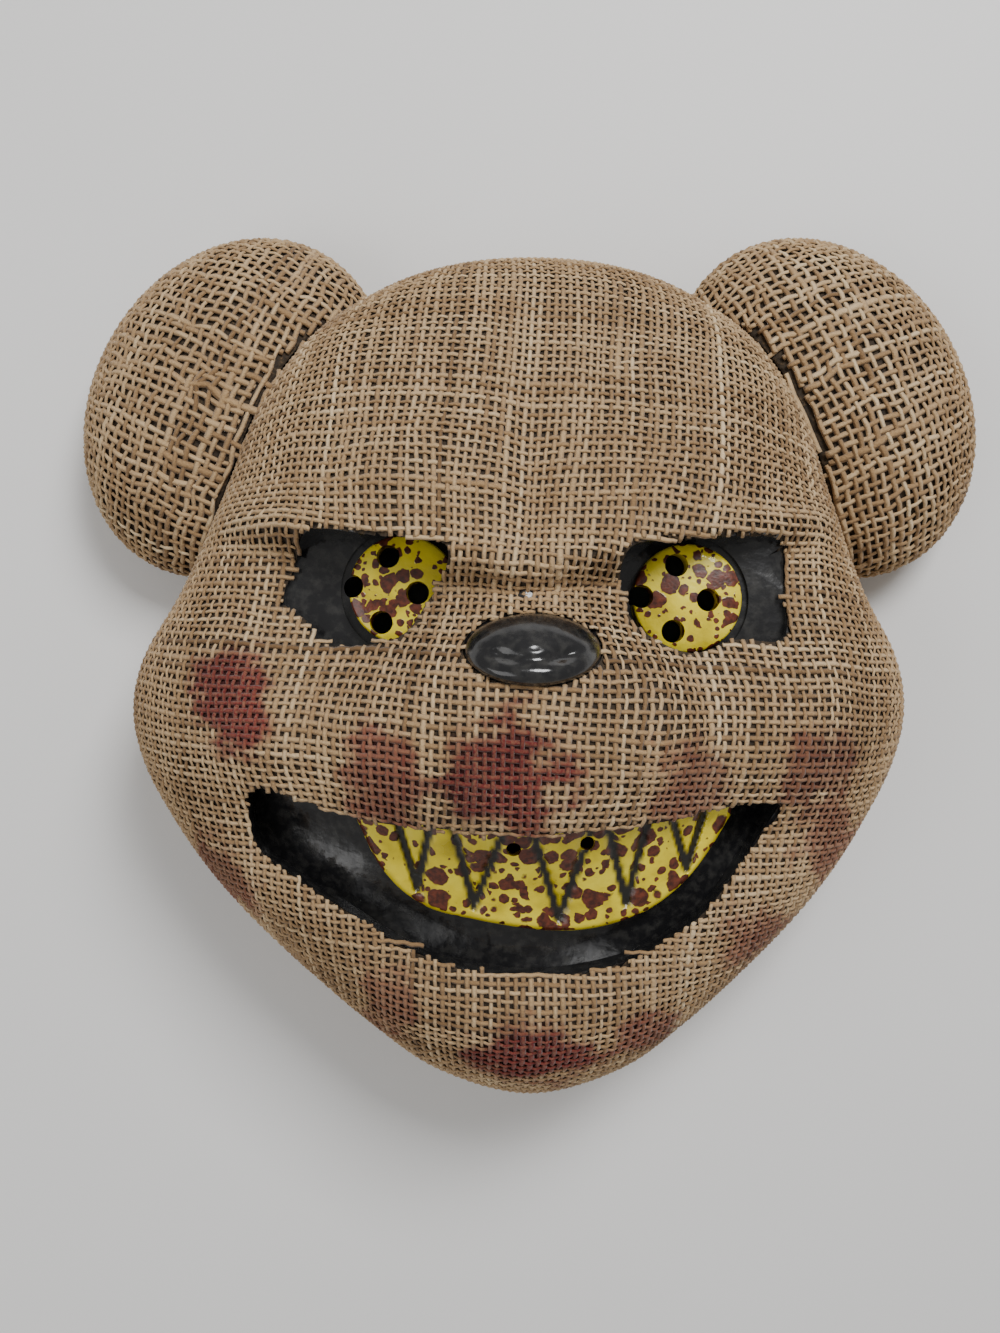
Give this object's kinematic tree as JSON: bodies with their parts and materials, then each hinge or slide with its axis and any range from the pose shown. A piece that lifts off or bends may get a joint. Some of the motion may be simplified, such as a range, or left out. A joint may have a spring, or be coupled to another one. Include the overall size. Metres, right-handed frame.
{
  "type": "bear mask",
  "caption": "Hollow adult bear face mask: moulded shell under a burlap cover, with padded ears, yellow eye discs, a plate of teeth and an elastic strap.",
  "frame": {"origin": "centre of the whole mask's footprint, on the surface that its rim rests on", "axes": "+X from ear to ear towards the wearer's left, +Y from the chin to the crown, +Z out of the face"},
  "size_m": [0.2884, 0.2713, 0.1171],
  "materials": {
    "shell": "glossy moulded black plastic",
    "burlap": "coarse plain-woven jute, with dark red stains",
    "yellow": "yellow painted plastic with dark red-brown spots",
    "elastic": "black woven elastic",
    "rivet": "dull nickel-plated rivet head"
  },
  "bodies": {
    "root": {"face_shell": "shell", "burlap_cover": "burlap", "nose": "shell", "eye_lens_left": "yellow", "eye_lens_right": "yellow", "teeth_plate": "yellow", "ear_left": "burlap", "ear_right": "burlap", "head_strap": "elastic", "strap_rivet_left": "rivet", "strap_rivet_right": "rivet"}
  },
  "joints": []
}
